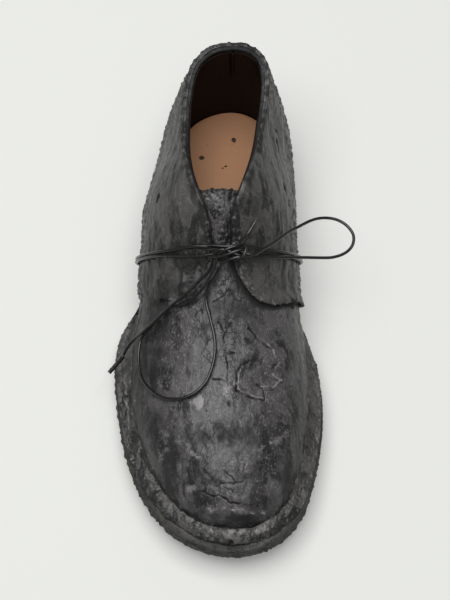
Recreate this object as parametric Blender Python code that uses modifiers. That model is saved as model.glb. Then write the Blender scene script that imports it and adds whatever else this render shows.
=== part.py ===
"""A chunky right derby shoe with a thick flared sole, built as its maker puts it together.

Sizes are in millimetres and become metres where a mesh is made. A place is given as
x across (medial side positive), s along the shoe from the back of the heel, and z up.
"""

import math

import bmesh
import bpy
import numpy as np
from mathutils import Matrix, Vector

MM = 0.001

# Driving sizes
MIDDLE_X = -0.75
MIDDLE_S = 146.07
UPPER_WALL = 2.4
QUARTER_WALL = 1.8
SEAT_GAP = 0.3
INSOLE_THICK = 3.5
TONGUE_THICK = 2.2
LACE_DIAMETER = 1.8
HEEL_BREAST_ROW = 9.0
HEEL_BACK_ROW = 13.0

# The sole's edge, a row for each station from the toe (row 0) to the heel back (row 13).
# Columns: lateral x, lateral s, medial x, medial s.
SOLE_EDGE = (
    (9.4, 291.2, 9.4, 291.2),
    (-17.2, 284.6, 33.6, 283.0),
    (-38.2, 265.5, 49.4, 262.5),
    (-53.2, 234.0, 57.6, 230.0),
    (-60.8, 194.0, 60.6, 197.0),
    (-60.6, 159.0, 55.4, 166.0),
    (-49.8, 138.5, 47.4, 143.0),
    (-44.6, 117.0, 43.0, 118.0),
    (-41.6, 94.0, 41.4, 94.0),
    (-37.4, 72.0, 41.6, 72.0),
    (-32.4, 44.0, 41.2, 44.0),
    (-25.8, 21.0, 35.4, 21.0),
    (-11.0, 7.6, 22.8, 7.6),
    (6.6, 4.0, 6.6, 4.0),
)

# The feather line, where the upper meets the sole, with the same rows and columns.
FEATHER_LINE = (
    (8.5, 277.5, 8.5, 277.5),
    (-16.0, 270.5, 30.5, 270.5),
    (-34.5, 251.0, 43.5, 251.0),
    (-47.0, 223.0, 50.2, 224.0),
    (-52.2, 191.0, 52.0, 196.0),
    (-50.0, 163.0, 49.2, 166.0),
    (-45.0, 139.0, 43.8, 140.0),
    (-41.6, 117.0, 40.2, 117.0),
    (-38.6, 93.0, 38.4, 93.0),
    (-34.4, 69.0, 38.4, 69.0),
    (-29.0, 43.0, 37.8, 43.0),
    (-22.4, 23.0, 32.0, 23.0),
    (-9.0, 11.8, 20.4, 11.8),
    (6.8, 8.4, 6.8, 8.4),
)

# The top of each section: the vamp's ridge up to row 6, then the edges of throat and collar.
# Columns: centre x, s, z, half of the opening.
TOP_LINE = (
    (8.2, 263.5, 43.8, 0.0),
    (7.4, 257.5, 45.8, 0.0),
    (5.0, 243.0, 49.2, 0.0),
    (2.4, 219.0, 52.5, 0.0),
    (0.8, 192.0, 57.0, 0.0),
    (0.8, 163.0, 64.0, 0.0),
    (1.0, 138.0, 73.0, 0.0),
    (0.8, 121.0, 82.0, 5.8),
    (-0.4, 99.0, 95.5, 12.6),
    (0.9, 68.0, 89.0, 20.6),
    (3.0, 40.0, 88.0, 22.6),
    (5.6, 18.0, 93.5, 20.6),
    (7.4, 7.6, 97.2, 11.6),
    (8.0, 5.4, 98.0, 0.0),
)

# The throat's opening in the upper, wider at its foot than a plain wedge. Columns: row, half.
THROAT = (
    (6.25, 0.0),
    (6.5, 5.4),
    (6.7, 6.0),
    (7.0, 5.8),
    (7.4, 6.8),
    (7.7, 8.8),
    (8.0, 12.6),
    (8.5, 17.2),
    (9.0, 20.6),
    (10.0, 22.6),
)

# How the wall of each section swells between feather line and top.
# Columns: outward and upward pull at the feather line, outward and downward pull at the top.
SWELL = (
    (1.0, 15.0, 9.0, 3.2),
    (1.5, 16.0, 14.0, 2.6),
    (2.0, 18.0, 20.0, 1.2),
    (2.5, 19.0, 27.0, 0.5),
    (3.0, 20.0, 30.0, 0.5),
    (5.5, 20.0, 31.0, 1.0),
    (10.0, 19.0, 31.0, 2.0),
    (12.0, 18.0, 31.0, 5.0),
    (12.5, 17.0, 26.0, 14.0),
    (11.5, 16.0, 13.0, 22.0),
    (9.5, 16.0, 8.0, 22.0),
    (8.5, 17.0, 5.5, 24.0),
    (7.5, 18.0, 3.5, 26.0),
    (7.0, 18.0, 3.0, 26.0),
)

# The sole's height along the shoe. Columns: s, bottom z, top z.
SOLE_HEIGHT = (
    (0.0, 13.2, 25.2),
    (70.0, 12.6, 24.6),
    (95.0, 10.4, 22.0),
    (125.0, 5.0, 17.6),
    (168.0, 0.0, 14.0),
    (225.0, 0.0, 14.0),
    (255.0, 2.6, 16.2),
    (292.0, 9.5, 22.6),
)

# The sole edge's side, from floor to top. Columns: inset from the outline, share of the height.
SOLE_SIDE = ((2.2, 0.0), (0.3, 0.22), (0.0, 0.6), (1.0, 1.0))

# The welt's section, round from its inner foot: a rolled lip at the toe, and on the sides a slope
# that leans on the wall. Columns: share of its width, height.
WELT_TOE = ((0.0, 0.0), (0.06, 3.4), (0.36, 4.9), (0.74, 4.5), (1.0, 2.4), (0.95, 0.0))
WELT_SIDE = ((0.0, 0.0), (0.0, 6.0), (0.28, 4.3), (0.55, 3.3), (1.0, 2.2), (0.97, 0.0))
WELT_CLEAR = 0.4
WELT_END_ROW = 5.8

# How far up the wall the welt's inner edge reaches
WELT_UP = 0.1

# How much of the toe's roll the welt has along its way, from the medial end to the lateral end.
# Columns: row (medial rows below 0), share of the roll, inset from the sole's edge, share of height.
WELT_ROLL = (
    (-5.8, 0.0, 1.2, 0.4),
    (-5.2, 0.0, 1.2, 1.0),
    (-2.3, 0.0, 1.2, 1.0),
    (-1.0, 1.0, 5.2, 1.0),
    (2.0, 1.0, 5.2, 1.0),
    (3.2, 0.0, 1.2, 1.0),
    (5.2, 0.0, 1.2, 1.0),
    (5.8, 0.0, 1.2, 0.4),
)

# How far up the wall the quarters begin, and how far off it they lie
QUARTER_FOOT = 0.03
QUARTER_LIFT = 0.5

# The front edge of each quarter's flap. Columns: share of the way up the wall, row.
FLAP_EDGE = (
    (0.0, 6.1),
    (0.3, 5.8),
    (0.5, 5.48),
    (0.62, 5.31),
    (0.7, 5.24),
    (0.78, 5.29),
    (0.84, 5.46),
    (0.9, 5.84),
    (0.95, 6.16),
    (1.0, 6.5),
)

# The lace's girth round instep and arch: its place at the floor and its lean with height
GIRTH_S = 103.5
GIRTH_LEAN = 0.33
GIRTH_SOLE_ROW = 7.4
GIRTH_ROWS = (5.2, 9.0)
CROSSING_LIFT = 2.3
CROSSING_HALF = 5.0
LACE_SPACING = 5.4

# How far each turn lies off the girth line, at the soles' sides and beside the knot
TURN_APART = 1.05
TURN_SPREAD = 1.9
SPREAD_X = 13.0

# The knot's middle in x, s, z, half of its length, width and height, and its tilt in degrees
KNOT = (5.0, 132.6, 85.7)
KNOT_HALF = (6.5, 4.4, 2.8)
KNOT_TILT = 30.0

# The bow's loops and the lace's ends, each a route from the knot in x, s, z
LOOP_LEFT = (
    (2.9, 136.1, 82.7),
    (-1.6, 143.2, 77.0),
    (-6.2, 148.4, 72.4),
    (-7.7, 155.1, 67.8),
    (-5.4, 165.0, 65.0),
    (-3.0, 175.2, 62.6),
    (-2.5, 183.1, 60.9),
    (-3.7, 191.0, 59.2),
    (-7.1, 199.9, 57.1),
    (-13.3, 206.3, 55.0),
    (-20.7, 209.0, 52.4),
    (-27.0, 208.5, 49.8),
    (-33.3, 206.1, 46.7),
    (-39.8, 199.8, 42.9),
    (-44.7, 191.6, 39.5),
    (-46.7, 182.4, 38.2),
    (-46.8, 174.3, 38.4),
    (-45.1, 167.1, 40.7),
    (-40.9, 163.6, 46.0),
    (-36.1, 159.7, 51.2),
    (-29.1, 156.1, 57.7),
    (-22.7, 155.5, 62.0),
    (-16.3, 154.5, 66.2),
    (-11.2, 151.6, 71.0),
    (-6.0, 146.0, 76.4),
    (-0.6, 135.1, 83.9),
)
LOOP_RIGHT = (
    (11.9, 133.5, 86.9),
    (19.0, 135.1, 85.5),
    (25.3, 129.7, 82.0),
    (31.7, 123.1, 77.0),
    (40.0, 113.2, 70.0),
    (46.6, 107.3, 66.0),
    (52.6, 102.6, 63.0),
    (57.4, 100.0, 61.0),
    (62.7, 98.9, 59.5),
    (68.0, 99.4, 58.5),
    (72.7, 101.5, 57.5),
    (76.1, 104.9, 57.0),
    (78.1, 109.4, 57.0),
    (77.6, 114.6, 57.0),
    (74.9, 118.8, 57.0),
    (70.5, 121.9, 57.5),
    (64.6, 124.0, 58.5),
    (58.1, 125.1, 60.5),
    (46.9, 127.5, 66.0),
    (41.6, 128.9, 69.0),
    (34.6, 130.8, 73.0),
    (25.9, 132.9, 78.0),
    (18.0, 134.0, 81.0),
    (11.1, 133.3, 83.6),
)
END_LONG = (
    (-2.5, 133.5, 85.2),
    (-5.6, 140.6, 77.4),
    (-11.7, 145.5, 72.6),
    (-18.6, 150.8, 68.0),
    (-29.1, 157.0, 60.8),
    (-36.1, 161.2, 54.4),
    (-40.3, 163.2, 49.6),
    (-45.1, 165.4, 44.0),
    (-49.6, 166.8, 38.2),
    (-54.1, 170.5, 33.0),
    (-57.2, 175.3, 29.5),
    (-61.2, 179.3, 27.0),
    (-64.4, 182.5, 25.2),
)
END_SHORT = (
    (11.0, 130.3, 88.1),
    (12.4, 127.6, 86.2),
    (14.2, 124.2, 84.6),
    (16.1, 121.1, 84.2),
    (18.0, 118.3, 84.7),
    (20.6, 113.9, 85.6),
)

# Mesh fineness: segments from toe to flap edge, from flap edge to heel, up the wall, and along
# the other pieces
FRONT_STEPS = 16
BACK_STEPS = 20
WALL_STEPS = 12
SOLE_STEPS = 44
WELT_STEPS = 52
TONGUE_STEPS = 9
HEEL_STEPS = 20


def place(x, s, z):
    """A point of the shoe in Blender's frame: +Y towards the heel, in metres."""
    return Vector((x - MIDDLE_X, MIDDLE_S - s, z)) * MM


def periodic_spline(values):
    """A smooth closed curve through values, one at each whole number of its parameter."""
    points = np.asarray(values, float)
    count = len(points)
    system = 4 * np.eye(count) + np.roll(np.eye(count), 1, 1) + np.roll(np.eye(count), -1, 1)
    bend = 6 * (np.roll(points, -1, 0) - 2 * points + np.roll(points, 1, 0))
    curvature = np.linalg.solve(system, bend)

    def value(parameter):
        whole = math.floor(parameter)
        b = parameter - whole
        a = 1 - b
        i, j = whole % count, (whole + 1) % count
        pull = (a**3 - a) * curvature[i] + (b**3 - b) * curvature[j]
        return a * points[i] + b * points[j] + pull / 6

    return value


def around(rows, lateral, medial):
    """Rows as a closed loop: up the medial side from toe to heel, and back down the lateral side."""
    medial_side = [[row[c] for c in medial] for row in rows]
    lateral_side = [[row[c] for c in lateral] for row in rows]
    return periodic_spline(medial_side + lateral_side[-2:0:-1])


def loop_parameter(side, row):
    """Where a row lies on a loop: side is +1 medial or -1 lateral."""
    return row if side > 0 else 2 * HEEL_BACK_ROW - row


def ramp(table, column):
    """A monotone curve through a table's first column and another, which keeps its flats."""
    xs = np.array([row[0] for row in table])
    ys = np.array([row[column] for row in table])
    slopes = np.diff(ys) / np.diff(xs)
    tangents = np.zeros(len(xs))
    for i in range(1, len(xs) - 1):
        if slopes[i - 1] * slopes[i] > 0:
            tangents[i] = 2 / (1 / slopes[i - 1] + 1 / slopes[i])
    tangents[0], tangents[-1] = slopes[0], slopes[-1]

    def value(x):
        x = min(max(x, xs[0]), xs[-1])
        i = min(int(np.searchsorted(xs, x, "right")) - 1, len(xs) - 2)
        width = xs[i + 1] - xs[i]
        t = (x - xs[i]) / width
        rise = t * t * (3 - 2 * t)
        ease_in = t * (1 - t) ** 2 * width * tangents[i]
        ease_out = -t * t * (1 - t) * width * tangents[i + 1]
        return ys[i] + (ys[i + 1] - ys[i]) * rise + ease_in + ease_out

    return value


sole_edge = around(SOLE_EDGE, (0, 1), (2, 3))
feather_line = around(FEATHER_LINE, (0, 1), (2, 3))
top_centre = around(TOP_LINE, (0, 1, 2), (0, 1, 2))
top_half = periodic_spline([row[3] for row in TOP_LINE] + [-row[3] for row in TOP_LINE[-2:0:-1]])
swell = around(SWELL, (0, 1, 2, 3), (0, 1, 2, 3))
sole_bottom = ramp(SOLE_HEIGHT, 1)
sole_top = ramp(SOLE_HEIGHT, 2)
flap_row = ramp(FLAP_EDGE, 1)
throat_half = ramp(THROAT, 1)


def outward(curve, parameter):
    """The level direction pointing out of a closed loop, as (x, s)."""
    step = 0.01
    along = curve(parameter + step) - curve(parameter - step)
    normal = np.array([along[1], -along[0]])
    return -normal / np.linalg.norm(normal)


def inset(curve, side, row, distance):
    """A point of a loop moved in by a distance."""
    parameter = loop_parameter(side, row)
    return curve(parameter) - distance * outward(curve, parameter)


def opening_half(row):
    """Half of the throat or collar opening at a row, and nothing in front of the throat."""
    if row < THROAT[-1][0]:
        return float(throat_half(row))
    return max(float(top_half(row)), 0.0)


def wall_point(side, row, up, half=None):
    """The upper's outer face at a row, up from the feather line (0) to its top (1), in x, s, z."""
    half = opening_half(row) if half is None else half
    parameter = loop_parameter(side, row)
    foot_x, foot_s = feather_line(parameter)
    out_x, out_s = outward(feather_line, parameter)
    centre_x, crown_s, crown_z = top_centre(row)
    low_out, low_up, high_out, high_down = swell(row)
    foot = np.array([foot_x, foot_s, sole_top(foot_s) + SEAT_GAP])
    crown = np.array([centre_x + side * half, crown_s, crown_z])
    low = foot + np.array([out_x * low_out, out_s * low_out, low_up])
    high = crown + np.array([out_x * high_out, out_s * high_out, -high_down])
    rest = 1 - up
    return rest**3 * foot + 3 * rest**2 * up * low + 3 * rest * up**2 * high + up**3 * crown


def wall_normal(side, row, up, half=None):
    """The direction out of the upper's face, in x, s, z."""
    step = 0.02
    middle = min(max(up, step), 1 - step)
    along = wall_point(side, row + step, middle, half) - wall_point(side, row - step, middle, half)
    rise = wall_point(side, row, middle + step, half) - wall_point(side, row, middle - step, half)
    normal = np.cross(rise, along) * side
    return normal / np.linalg.norm(normal)


def wall_row(step, up):
    """The row of a mesh line that runs with the flap's front edge at FRONT_STEPS."""
    front = flap_row(up)
    if step <= FRONT_STEPS:
        return front * step / FRONT_STEPS
    return front + (HEEL_BACK_ROW - front) * (step - FRONT_STEPS) / BACK_STEPS


def material(name, colour, roughness):
    """A plain finish in the piece's colour."""
    made = bpy.data.materials.new(name)
    made.use_nodes = True
    shader = made.node_tree.nodes["Principled BSDF"]
    shader.inputs["Base Color"].default_value = (*colour, 1.0)
    shader.inputs["Roughness"].default_value = roughness
    shader.inputs["Metallic"].default_value = 0.0
    return made


def lofted(across, along, point):
    """A grid bent to point(u, v), with u and v from 0 to 1, and its meeting edges welded."""
    surface = bmesh.new()
    bmesh.ops.create_grid(surface, x_segments=across, y_segments=along, size=1.0)
    for vert in surface.verts:
        u, v = (vert.co.x + 1) / 2, (vert.co.y + 1) / 2
        vert.co = point(u, v)
    bmesh.ops.remove_doubles(surface, verts=surface.verts, dist=1e-6)
    return surface


def node(name, surface, finish):
    """A named object of the shoe from a bmesh."""
    mesh = bpy.data.meshes.new(name)
    surface.to_mesh(mesh)
    surface.free()
    mesh.shade_smooth()
    mesh.set_sharp_from_angle(angle=math.radians(40))
    made = bpy.data.objects.new(name, mesh)
    made.data.materials.append(finish)
    shoe.objects.link(made)
    return made


def thicken(piece, thickness, offset):
    """Gives an open surface its thickness: offset -1 grows it inwards and +1 outwards."""
    wall = piece.modifiers.new("wall", "SOLIDIFY")
    wall.thickness = thickness * MM
    wall.offset = offset
    wall.use_quality_normals = True


def close_ends(surface):
    """Caps the open ends of a strip and points all its faces out."""
    open_edges = [edge for edge in surface.edges if edge.is_boundary]
    bmesh.ops.holes_fill(surface, edges=open_edges, sides=0)
    bmesh.ops.recalc_face_normals(surface, faces=surface.faces)


def side_surface(side, first_step, steps, lowest):
    """The upper's outer face on one side, from a mesh line back to the heel, facing out."""

    def point(u, v):
        up = lowest + (1 - lowest) * v
        return place(*wall_point(side, wall_row(first_step + u * steps, up), up))

    surface = lofted(steps, WALL_STEPS, point)
    surface.normal_update()
    if side * sum(face.normal.x for face in surface.faces) < 0:
        bmesh.ops.reverse_faces(surface, faces=surface.faces)
    return surface


def make_upper(finish):
    """Vamp and lining as one hollow wall, open at collar and throat and under the foot."""
    both = bmesh.new()
    for side in (-1, 1):
        half = side_surface(side, 0, FRONT_STEPS + BACK_STEPS, 0.0)
        scratch = bpy.data.meshes.new("half")
        half.to_mesh(scratch)
        half.free()
        both.from_mesh(scratch)
        bpy.data.meshes.remove(scratch)
    bmesh.ops.remove_doubles(both, verts=both.verts, dist=1e-6)
    thicken(node("upper", both, finish), UPPER_WALL, -1)


def make_quarter(name, side, finish):
    """One quarter laid over the upper, from its rounded flap to the seam down the heel."""
    surface = side_surface(side, FRONT_STEPS, BACK_STEPS, QUARTER_FOOT)
    surface.normal_update()
    lift = [vert.normal * QUARTER_LIFT * MM for vert in surface.verts]
    for vert, move in zip(surface.verts, lift):
        vert.co += move
    seam_x, seam_reach = place(TOP_LINE[-1][0], 0, 0).x, 2 * MM
    heel_y = place(0, 60, 0).y
    for vert in surface.verts:
        heel_edge = vert.co.y > heel_y and abs(vert.co.x - seam_x) < seam_reach
        if heel_edge:
            vert.co.x += side * SEAT_GAP * MM
    thicken(node(name, surface, finish), QUARTER_WALL, 1)


def make_tongue(finish):
    """The vamp's tongue, which lies inside the wall under the throat."""
    first_row, last_row = 5.95, 8.02
    narrowest = 5.4
    reach = (0.74, 0.88, 1.0)
    columns = [(-1, up) for up in reach] + [(0, 1.0)] + [(1, up) for up in reach[::-1]]
    clear, dip, dip_front, dip_back = 0.9, 2.0, 6.7, 7.5
    flare_row = 7.3
    crown, crown_row, crown_rows = 0.1, 6.5, 0.4

    def sunk(side, row, up):
        half = max(opening_half(row), narrowest) if up == 1 else opening_half(row)
        flare = None if row > flare_row else half
        under = UPPER_WALL + clear + dip * max(0.0, dip_front - row, row - dip_back)
        return wall_point(side, row, up, half) - wall_normal(side, row, up, flare) * under

    def point(u, v):
        row = first_row + (last_row - first_row) * v
        side, up = columns[round(u * (len(columns) - 1))]
        if side:
            return place(*sunk(side, row, up))
        lateral, medial = sunk(-1, row, 1.0), sunk(1, row, 1.0)
        middle = (lateral + medial) / 2
        arched = min(1.0, max(0.0, row - crown_row) / crown_rows)
        middle[2] += crown * (medial[0] - lateral[0]) * arched
        return place(*middle)

    surface = lofted(len(columns) - 1, TONGUE_STEPS, point)
    surface.normal_update()
    if sum(face.normal.z for face in surface.faces) < 0:
        bmesh.ops.reverse_faces(surface, faces=surface.faces)
    thicken(node("tongue", surface, finish), TONGUE_THICK, -1)


def make_insole(finish):
    """The leather insole, lying on the sole inside the upper's wall."""
    clear = UPPER_WALL + 0.6

    def point(u, v):
        row = HEEL_BACK_ROW * v
        lateral = inset(feather_line, -1, row, clear)
        medial = inset(feather_line, 1, row, clear)
        x, s = lateral + (medial - lateral) * u
        return place(x, s, sole_top(s) + SEAT_GAP)

    surface = lofted(2, SOLE_STEPS, point)
    bmesh.ops.recalc_face_normals(surface, faces=surface.faces)
    if sum(face.normal.z for face in surface.faces) < 0:
        bmesh.ops.reverse_faces(surface, faces=surface.faces)
    thicken(node("insole", surface, finish), INSOLE_THICK, 1)


def make_outsole(finish):
    """The thick sole from edge to edge, with its toe spring, arch and heel seat."""
    section = [(-1, *point) for point in SOLE_SIDE] + [(1, *point) for point in SOLE_SIDE[::-1]]

    def point(u, v):
        side, edge_inset, share = section[round(u * len(section)) % len(section)]
        x, s = inset(sole_edge, side, HEEL_BACK_ROW * v, edge_inset)
        low, high = sole_bottom(s), sole_top(s)
        return place(x, s, low + (high - low) * share)

    surface = lofted(len(section), SOLE_STEPS, point)
    close_ends(surface)
    node("outsole", surface, finish)


def make_welt(finish):
    """The lip that runs round the forefoot between upper and sole edge, rolled up at the toe."""
    roll, edge_inset, rise = (ramp(WELT_ROLL, column) for column in (1, 2, 3))

    def point(u, v):
        along = WELT_END_ROW * (2 * u - 1)
        side, row = (1 if along < 0 else -1), abs(along)
        corner = round(v * len(WELT_SIDE)) % len(WELT_SIDE)
        toe, flank = np.array(WELT_TOE[corner]), np.array(WELT_SIDE[corner])
        share, height = flank + (toe - flank) * roll(along)
        wall_x, wall_s, _ = wall_point(side, row, WELT_UP)
        inner = np.array([wall_x, wall_s]) + WELT_CLEAR * outward(feather_line, loop_parameter(side, row))
        outer = inset(sole_edge, side, row, edge_inset(along))
        x, s = inner + (outer - inner) * share
        return place(x, s, sole_top(s) + SEAT_GAP + height * rise(along))

    surface = lofted(WELT_STEPS, len(WELT_SIDE), point)
    close_ends(surface)
    node("welt", surface, finish)


def make_heel(finish):
    """The heel block under the sole, with a straight breast."""
    edge_inset = 1.0
    section = ((-1, False), (-1, True), (1, True), (1, False))

    def point(u, v):
        side, top = section[round(u * len(section)) % len(section)]
        row = HEEL_BREAST_ROW + (HEEL_BACK_ROW - HEEL_BREAST_ROW) * v
        x, s = inset(sole_edge, side, row, edge_inset)
        return place(x, s, sole_bottom(s) - SEAT_GAP if top else 0.0)

    surface = lofted(len(section), HEEL_STEPS, point)
    close_ends(surface)
    node("heel", surface, finish)


def smooth_route(points, spacing):
    """Points a spacing apart on the smooth curve through a cord's route, in x, s, z."""
    route = [np.asarray(point, float) for point in points]
    route = [2 * route[0] - route[1]] + route + [2 * route[-1] - route[-2]]
    fine = []
    for before, here, there, after in zip(route, route[1:], route[2:], route[3:]):
        for t in np.linspace(0, 1, 12, endpoint=False):
            bend = 2 * before - 5 * here + 4 * there - after
            twist = 3 * (here - there) + after - before
            fine.append(here + 0.5 * t * (there - before + t * (bend + t * twist)))
    fine.append(route[-2])
    lengths = [0.0]
    for here, there in zip(fine, fine[1:]):
        lengths.append(lengths[-1] + np.linalg.norm(there - here))
    count = max(2, round(lengths[-1] / spacing) + 1)
    stations = np.linspace(0, lengths[-1], count)
    return np.stack([np.interp(stations, lengths, [p[i] for p in fine]) for i in range(3)], 1)


def cord(name, points, finish, closed=False):
    """A round lace along points given in x, s, z."""
    curve = bpy.data.curves.new(name, "CURVE")
    curve.dimensions = "3D"
    curve.bevel_depth = LACE_DIAMETER / 2 * MM
    curve.bevel_resolution = 2
    curve.use_fill_caps = not closed
    spline = curve.splines.new("POLY")
    spline.points.add(len(points) - 1)
    for target, point in zip(spline.points, points):
        target.co = (*place(*point), 1.0)
    spline.use_cyclic_u = closed
    curve.materials.append(finish)
    made = bpy.data.objects.new(name, curve)
    shoe.objects.link(made)


def wrap_offset(x, turn):
    """How far a turn of the lace lies in front of (turn 1) or behind (turn -1) the girth line."""
    spread = math.exp(-(((abs(x) - SPREAD_X) / SPREAD_X) ** 2))
    crossing = abs(math.tanh((x - KNOT[0]) / CROSSING_HALF))
    return turn * (TURN_APART + TURN_SPREAD * spread) * crossing


def girth_s(x, z, turn):
    """Where along the shoe a turn of the lace lies at a height."""
    return GIRTH_S + GIRTH_LEAN * z + wrap_offset(x, turn)


def convex_outline(points):
    """The corners of the smallest convex outline round points in x, z, from its left end on."""

    def turned(a, b, c):
        return (b[0] - a[0]) * (c[1] - a[1]) - (b[1] - a[1]) * (c[0] - a[0])

    ordered = sorted(points)
    chains = []
    for sequence in (ordered, ordered[::-1]):
        chain = []
        for point in sequence:
            while len(chain) > 1 and turned(chain[-2], chain[-1], point) <= 0:
                chain.pop()
            chain.append(point)
        chains.append(chain[:-1])
    return chains[0] + chains[1]


def girth_outline(turn):
    """The taut way of one turn of lace round quarters and sole, in x, z."""
    lift = QUARTER_LIFT + QUARTER_WALL + 3 * SEAT_GAP + LACE_DIAMETER / 2
    points = []
    for side in (-1, 1):
        for up in np.linspace(0.2, 1.0, 18):
            front, back = GIRTH_ROWS
            for _ in range(24):
                row = (front + back) / 2
                x, s, z = wall_point(side, row, up)
                if s > girth_s(x, z, turn):
                    front = row
                else:
                    back = row
            half = opening_half(row)
            out = wall_normal(side, row, up, half) * lift
            points.append((float(x + out[0]), float(z + out[2])))
        edge_x, edge_s = sole_edge(loop_parameter(side, GIRTH_SOLE_ROW))
        low, high = sole_bottom(edge_s), sole_top(edge_s)
        reach = 2 * SEAT_GAP + LACE_DIAMETER / 2
        for corner_in, share in SOLE_SIDE:
            for angle in np.radians((0, -25, -50, -75, -90)):
                across = edge_x + side * (reach * math.cos(angle) - corner_in)
                corner_z = low + (high - low) * share
                points.append((float(across), float(corner_z + reach * math.sin(angle))))
    return convex_outline(points)


def spaced_outline(outline, shortest, longest):
    """An outline with its long sides divided and its crowded corners thinned."""
    dense = []
    for here, there in zip(outline, outline[1:] + outline[:1]):
        count = max(1, math.ceil(math.dist(here, there) / longest))
        for k in range(count):
            dense.append(tuple(np.array(here) + (np.array(there) - np.array(here)) * k / count))
    start = min(range(len(dense)), key=lambda k: abs(dense[k][0] - KNOT[0]) - 0.1 * dense[k][1])
    spaced = []
    for point in dense[start:] + dense[:start]:
        if not spaced or math.dist(point, spaced[-1]) > shortest:
            spaced.append(point)
    return spaced[::-1]


def make_lace_wraps(finish):
    """The lace wound twice round instep and arch, its turns crossing under the knot."""
    way = []
    for turn in (1, -1):
        leg = spaced_outline(girth_outline(turn), shortest=3.0, longest=4.6)
        for k, (x, z) in enumerate(leg):
            near_knot = math.exp(-(((x - KNOT[0]) / CROSSING_HALF) ** 2)) if z > KNOT[2] / 2 else 0.0
            passes_over = (k < len(leg) / 2) == (turn > 0)
            lift = CROSSING_LIFT * near_knot if passes_over else 0.0
            way.append((x, girth_s(x, z, turn), z + lift))
    cord("lace_wraps", way, finish, closed=True)


def make_lace_knot(finish):
    """The bow's knot, a small flattened lump on the instep."""
    knot = bmesh.new()
    bmesh.ops.create_uvsphere(knot, u_segments=14, v_segments=8, radius=1.0)
    spin = Matrix.Rotation(math.radians(KNOT_TILT), 4, "X")
    size = Matrix.Diagonal((*[length * MM for length in KNOT_HALF], 1.0))
    bmesh.ops.transform(knot, matrix=Matrix.Translation(place(*KNOT)) @ spin @ size, verts=knot.verts)
    node("lace_knot", knot, finish)


def clear_scene():
    """Empties the scene and gives the shoe its own collection."""
    for existing in list(bpy.data.objects):
        bpy.data.objects.remove(existing)
    made = bpy.data.collections.new("derby_shoe")
    bpy.context.scene.collection.children.link(made)
    return made


shoe = clear_scene()
coated_leather = material("coated_leather", (0.035, 0.035, 0.037), 0.5)
coated_sole = material("coated_sole", (0.032, 0.032, 0.032), 0.7)
tan_leather = material("tan_leather", (0.42, 0.24, 0.13), 0.6)
waxed_cord = material("waxed_cord", (0.02, 0.02, 0.021), 0.35)

make_outsole(coated_sole)
make_heel(coated_sole)
make_welt(coated_sole)
make_insole(tan_leather)
make_upper(coated_leather)
make_tongue(coated_leather)
make_quarter("quarter_lateral", -1, coated_leather)
make_quarter("quarter_medial", 1, coated_leather)
make_lace_wraps(waxed_cord)
make_lace_knot(waxed_cord)
cord("lace_loop_left", smooth_route(LOOP_LEFT, LACE_SPACING), waxed_cord)
cord("lace_loop_right", smooth_route(LOOP_RIGHT, LACE_SPACING), waxed_cord)
cord("lace_end_long", smooth_route(END_LONG, LACE_SPACING), waxed_cord)
cord("lace_end_short", smooth_route(END_SHORT, LACE_SPACING), waxed_cord)
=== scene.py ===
"""Looks for a chunky right derby shoe whose whole outside is dipped in a thick dark coating.

Lengths are metres in Blender's frame, +X medial, +Y heel and +Z up. A place on the shoe is given
as x across, s along from the back of the heel and z up, in millimetres.
"""

import math

import bmesh
import bpy
import numpy as np
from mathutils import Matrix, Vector, kdtree, noise


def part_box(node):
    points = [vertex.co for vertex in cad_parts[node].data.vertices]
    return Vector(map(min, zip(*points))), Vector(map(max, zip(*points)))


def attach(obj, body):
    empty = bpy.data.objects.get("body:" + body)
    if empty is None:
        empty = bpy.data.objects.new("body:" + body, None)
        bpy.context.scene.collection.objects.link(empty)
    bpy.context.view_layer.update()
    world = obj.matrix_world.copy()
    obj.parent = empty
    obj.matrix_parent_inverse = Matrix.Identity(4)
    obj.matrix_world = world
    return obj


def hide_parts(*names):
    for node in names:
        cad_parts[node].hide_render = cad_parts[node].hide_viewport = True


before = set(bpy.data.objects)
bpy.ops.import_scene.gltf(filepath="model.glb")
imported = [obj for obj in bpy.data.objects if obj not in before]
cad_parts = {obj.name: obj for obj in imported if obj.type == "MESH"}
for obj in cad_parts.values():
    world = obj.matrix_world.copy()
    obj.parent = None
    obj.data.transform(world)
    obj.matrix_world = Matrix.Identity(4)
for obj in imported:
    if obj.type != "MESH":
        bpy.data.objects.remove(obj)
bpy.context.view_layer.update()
MM = 0.001

# Sole: one thick slab, flared round the forefoot, with toe spring, an arch and a flat heel seat.
# It was dipped together with the upper, so its edge is lumpy, and it dried to a matt finish.
# The coating closes the grooves to heel and welt: there the sole's rims stand up by RIM_SEAL.
RIM_SEAL = 1.6
# Where the frame's origin lies on the shoe.
ORIGIN_X, ORIGIN_S = -0.75, 146.07


def shoe_place(x, s, z=0.0):
    """A place on the shoe in Blender's frame, in metres."""
    return Vector((x - ORIGIN_X, ORIGIN_S - s, z)) * MM


def shoe_spot(x, s, z=0.0):
    """The same place as an array, in millimetres."""
    return np.array(shoe_place(x, s, z)) / MM


def shoe_x(x):
    """The frame's x of a place across the shoe, in millimetres."""
    return shoe_spot(x, 0)[0]


def shoe_y(s):
    """The frame's y of a place along the shoe, in millimetres."""
    return shoe_spot(0, s)[1]


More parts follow.
